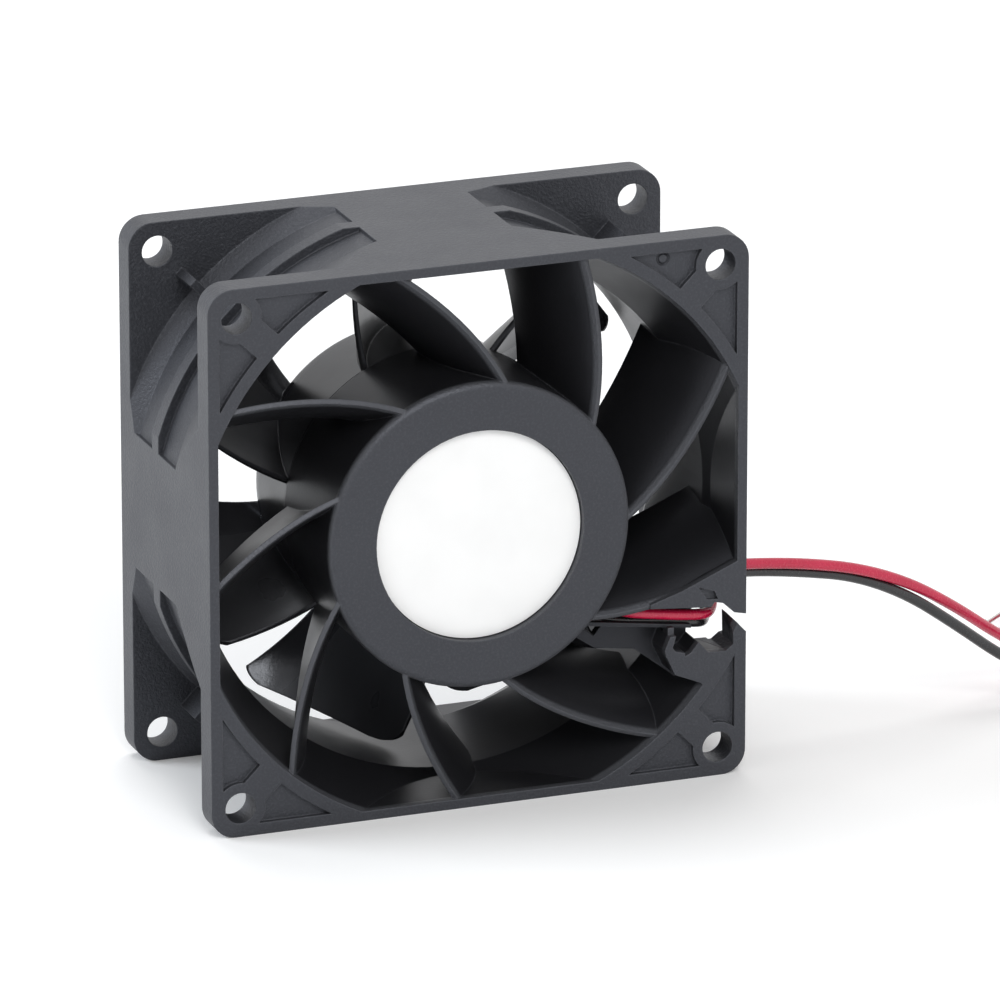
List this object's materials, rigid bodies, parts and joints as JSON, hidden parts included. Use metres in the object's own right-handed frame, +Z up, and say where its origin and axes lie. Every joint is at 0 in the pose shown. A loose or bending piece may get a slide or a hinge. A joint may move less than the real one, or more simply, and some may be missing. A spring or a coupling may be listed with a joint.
{
  "type": "axial cooling fan",
  "caption": "Square axial cooling fan with a deep flanged housing, curved guide vanes, bladed impeller, brushless motor and two loose leads.",
  "frame": {"origin": "centre of the fan's footprint, on the plane of its lowest edge", "axes": "Y is the fan's axis: -Y is the outlet side with the guide vanes and the label, +Y is the inlet side; +Z is up and +X is the side where the leads come out"},
  "size_m": [0.1591, 0.0557, 0.08],
  "materials": {
    "housing_plastic": "fine moulded grain, dark grey glass-filled plastic",
    "impeller_plastic": "smooth moulded black plastic",
    "label_paper": "plain white blank label",
    "brass": "turned",
    "core_steel": "stacked silicon steel sheets",
    "bobbin_plastic": "natural moulded plastic",
    "winding_wire": "enamelled copper wire",
    "board_laminate": "green solder mask over laminate",
    "tinned_metal": "tin plated",
    "component_black": "moulded epoxy",
    "capacitor_sleeve": "plain shrink sleeve",
    "bearing_steel": "ground bearing steel",
    "shield_steel": "pressed steel",
    "spring_steel": "hardened spring steel",
    "yoke_steel": "deep drawn, zinc plated",
    "magnet_rubber": "bonded ferrite strip",
    "red_insulation": "soft vinyl insulation",
    "black_insulation": "soft vinyl insulation",
    "tie_plastic": "natural nylon"
  },
  "bodies": {
    "frame": {"housing": "housing_plastic", "motor_label": "label_paper", "bearing_tube": "brass", "stator_core": "core_steel", "front_bobbin": "bobbin_plastic", "rear_bobbin": "bobbin_plastic", "stator_coils": "winding_wire", "circuit_board": "board_laminate", "terminal_pins": "tinned_metal", "driver_chip": "component_black", "hall_sensor": "component_black", "capacitor": "capacitor_sleeve", "diode": "component_black", "solder_joints": "tinned_metal", "front_bearing_outer_ring": "bearing_steel", "front_bearing_shields": "shield_steel", "rear_bearing_outer_ring": "bearing_steel", "rear_bearing_shields": "shield_steel", "red_lead": "red_insulation", "red_lead_coil": "red_insulation", "red_lead_end": "tinned_metal", "red_lead_tie": "tie_plastic", "black_lead": "black_insulation", "black_lead_coil": "black_insulation", "black_lead_end": "tinned_metal", "black_lead_tie": "tie_plastic"},
    "rotor": {"impeller": "impeller_plastic", "rotor_yoke": "yoke_steel", "rotor_magnet": "magnet_rubber", "hub_bush": "brass", "shaft": "bearing_steel", "front_bearing_inner_ring": "bearing_steel", "rear_bearing_inner_ring": "bearing_steel", "preload_spring": "spring_steel", "retaining_clip": "spring_steel"},
    "front_ball_cage": {"front_bearing_balls": "bearing_steel"},
    "rear_ball_cage": {"rear_bearing_balls": "bearing_steel"}
  },
  "joints": [
    {"name": "rotor_spin", "type": "hinge", "parent": "frame", "child": "rotor", "pos_m": [0, 0, 0.04], "axis": [0, 1, 0], "continuous": true},
    {"name": "front_ball_cage_spin", "type": "hinge", "parent": "frame", "child": "front_ball_cage", "pos_m": [0, 0, 0.04], "axis": [0, 1, 0], "continuous": true},
    {"name": "rear_ball_cage_spin", "type": "hinge", "parent": "frame", "child": "rear_ball_cage", "pos_m": [0, 0, 0.04], "axis": [0, 1, 0], "continuous": true}
  ],
  "couplings": [
    {"joint": "front_ball_cage_spin", "follows": "rotor_spin", "ratio": 0.373},
    {"joint": "rear_ball_cage_spin", "follows": "rotor_spin", "ratio": 0.373}
  ]
}
